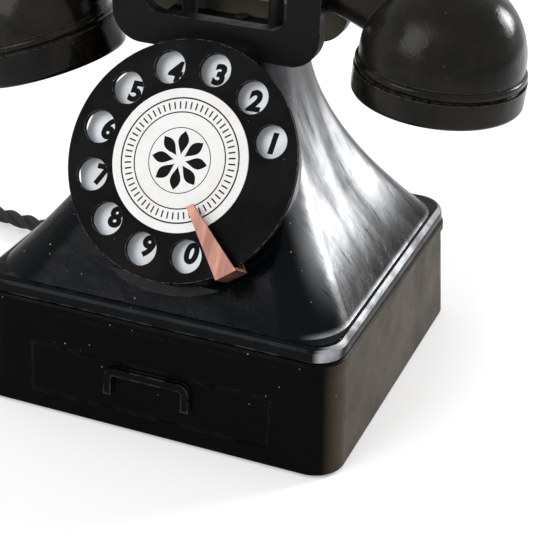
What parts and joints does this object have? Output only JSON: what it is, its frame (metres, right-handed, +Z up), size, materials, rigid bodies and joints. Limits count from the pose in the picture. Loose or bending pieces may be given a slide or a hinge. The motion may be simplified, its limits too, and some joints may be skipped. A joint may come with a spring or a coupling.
{
  "type": "dial telephone",
  "caption": "Old desk telephone: flared black case with a front drawer, tilted dial with finger stop, pronged cradle, bell-ended handset and twisted cord.",
  "frame": {"origin": "on the table under the middle of the case", "axes": "+X to the right of the dial, -Y to the front, +Z up"},
  "size_m": [0.4262, 0.1518, 0.1786],
  "materials": {
    "case_paint": "worn gloss black",
    "bakelite": "gloss black with fine scratches",
    "matte_black": "matte black",
    "enamel": "white enamel, worn silver",
    "card": "matt white card",
    "copper": "worn copper",
    "steel": "brushed",
    "brass": "satin",
    "rubber": "matte",
    "copper_wire": "lacquered winding",
    "insulator": "brown laminate",
    "cord_cotton": "black woven cotton",
    "drawer_wood": "black"
  },
  "bodies": {
    "telephone_base": {"base_plate": "steel", "base_screws": "steel", "capacitor": "steel", "chassis_plate": "steel", "clapper_pin": "steel", "cord_gland": "rubber", "cradle": "matte_black", "cradle_screws": "steel", "dial_cup": "case_paint", "drawer_rails": "steel", "finger_stop": "copper", "gong_posts": "steel", "handset_cord": "cord_cotton", "hook_bracket": "steel", "hook_contacts": "insulator", "hook_spring": "steel", "induction_coil": "copper_wire", "left_gong": "brass", "line_cord_bush": "rubber", "lower_case": "case_paint", "number_plate": "enamel", "pulse_contacts": "brass", "return_spring_drum": "steel", "right_gong": "brass", "ringer_coils": "copper_wire", "ringer_frame": "steel", "rubber_feet": "rubber", "terminal_block": "insulator", "terminal_screws": "brass", "upper_housing": "case_paint"},
    "dial_rotor": {"finger_wheel": "matte_black", "dial_card": "card", "wheel_hub": "steel", "dial_shaft": "steel", "main_gear": "brass"},
    "governor": {"governor": "brass"},
    "handset": {"handset_handle": "bakelite", "receiver_cap": "bakelite", "transmitter_cap": "bakelite", "receiver_diaphragm": "steel", "transmitter_diaphragm": "steel", "receiver_capsule": "steel", "transmitter_capsule": "steel", "handset_cord_bush": "rubber"},
    "hook": {"hook_yoke": "steel"},
    "drawer": {"drawer_front": "case_paint", "drawer_tray": "drawer_wood", "drawer_pull": "case_paint"},
    "clapper": {"clapper": "brass"}
  },
  "joints": [
    {"name": "dial_turn", "type": "hinge", "parent": "telephone_base", "child": "dial_rotor", "pos_m": [0, -0.043, 0.1043], "axis": [0, 0.8572, -0.515], "range_deg": [0, 318], "stiffness_Nm_per_rad": 0.01, "springref_deg": -28.65},
    {"name": "governor_spin", "type": "hinge", "parent": "telephone_base", "child": "governor", "pos_m": [0, -0.05418, 0.0857], "axis": [0, 0.8572, -0.515], "range_deg": [-960, 3]},
    {"name": "handset_lift", "type": "slide", "parent": "telephone_base", "child": "handset", "axis": [0, 0, 1], "range_m": [0, 0.06]},
    {"name": "hook_rise", "type": "slide", "parent": "telephone_base", "child": "hook", "axis": [0, 0, 1], "range_m": [0, 0.005], "deforming": ["hook_spring"]},
    {"name": "drawer_slide", "type": "slide", "parent": "telephone_base", "child": "drawer", "axis": [0, -1, 0], "range_m": [0, 0.08]},
    {"name": "clapper_swing", "type": "hinge", "parent": "telephone_base", "child": "clapper", "pos_m": [0, 0.013, 0.043], "axis": [0, 0, 1], "range_deg": [-6, 6]}
  ],
  "couplings": [
    {"joint": "governor_spin", "follows": "dial_turn", "ratio": -3},
    {"joint": "hook_rise", "follows": "handset_lift", "ratio": 0.083333}
  ]
}
